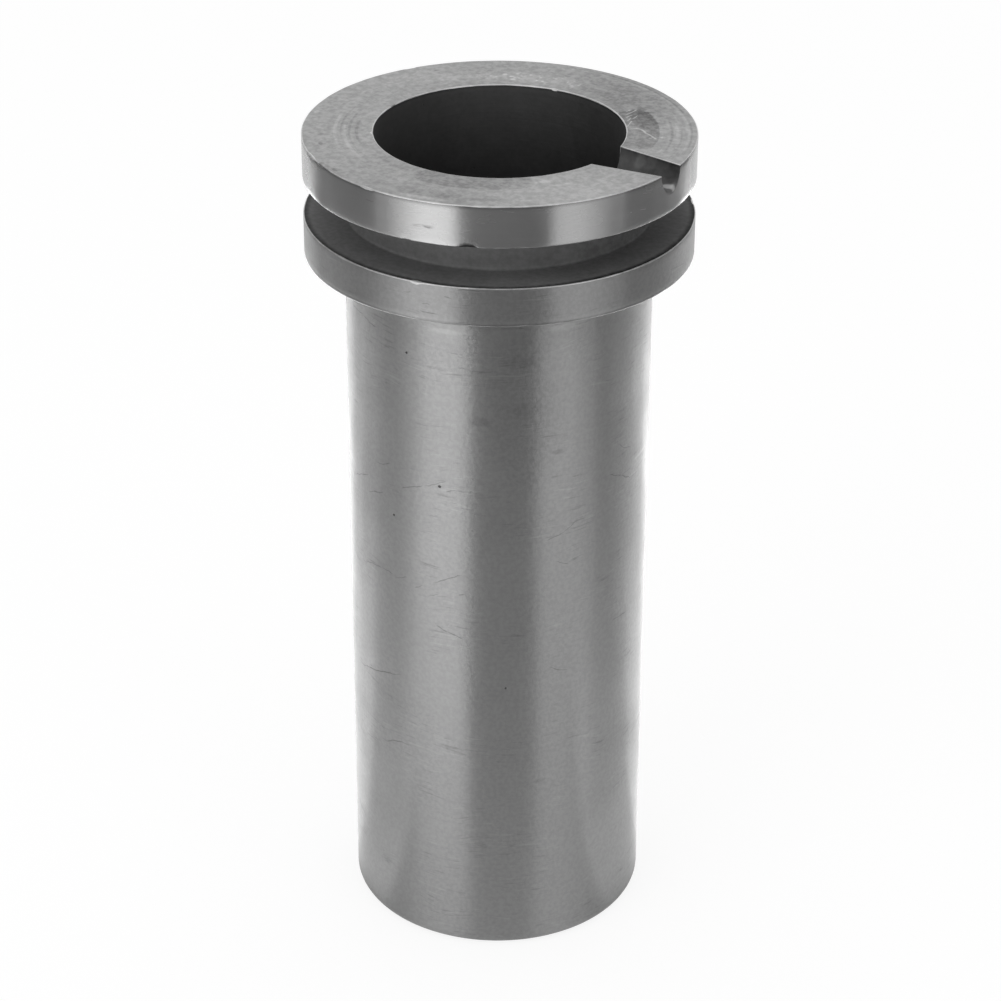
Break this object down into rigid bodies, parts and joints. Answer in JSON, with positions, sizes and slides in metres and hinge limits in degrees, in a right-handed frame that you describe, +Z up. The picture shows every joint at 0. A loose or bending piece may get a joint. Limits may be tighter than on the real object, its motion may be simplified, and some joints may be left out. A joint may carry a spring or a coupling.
{
  "type": "foundry crucible",
  "caption": "Turned crucible for melting and pouring metal: a long round cup with a flanged head, a square groove for lifting tongs and a pour notch through the rim.",
  "frame": {"origin": "centre of the base, on the axis of turning", "axes": "+Z up the axis of turning, +X along the pour notch, from the cavity to the lip"},
  "size_m": [0.058, 0.058, 0.13],
  "materials": {
    "graphite": "satin machined graphite, with turning marks and light handling wear"
  },
  "bodies": {
    "root": {"crucible": "graphite"}
  },
  "joints": []
}
